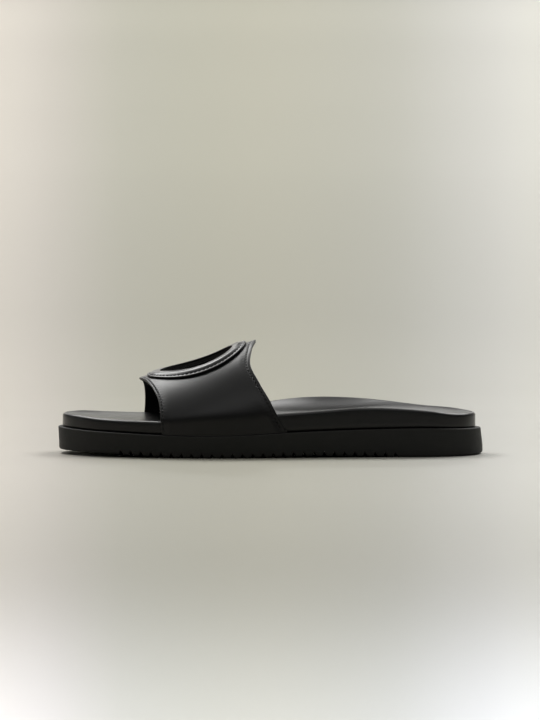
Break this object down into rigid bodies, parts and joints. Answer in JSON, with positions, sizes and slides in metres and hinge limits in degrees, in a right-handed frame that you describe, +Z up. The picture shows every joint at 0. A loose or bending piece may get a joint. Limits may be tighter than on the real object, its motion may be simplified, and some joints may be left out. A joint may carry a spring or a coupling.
{
  "type": "slide sandal",
  "caption": "Leather slide sandal: contoured wrapped footbed on a notched rubber sole, with a padded instep strap and a stitched ring round its oval cut-out.",
  "frame": {"origin": "On the floor, under the middle of the sandal's length and width.", "axes": "+X points to the heel, +Y to the inner side of the foot, and +Z up."},
  "size_m": [0.285, 0.1041, 0.0763],
  "materials": {
    "sole_rubber": "matte black rubber with a fine moulded grain",
    "footbed_leather": "black leather with a satin finish and a fine grain",
    "strap_leather": "smooth black calf leather with a satin gloss",
    "ring_leather": "smooth black calf leather with painted edges and a satin gloss"
  },
  "bodies": {
    "root": {"outsole": "sole_rubber", "footbed": "footbed_leather", "strap": "strap_leather", "strap_ring": "ring_leather"}
  },
  "joints": []
}
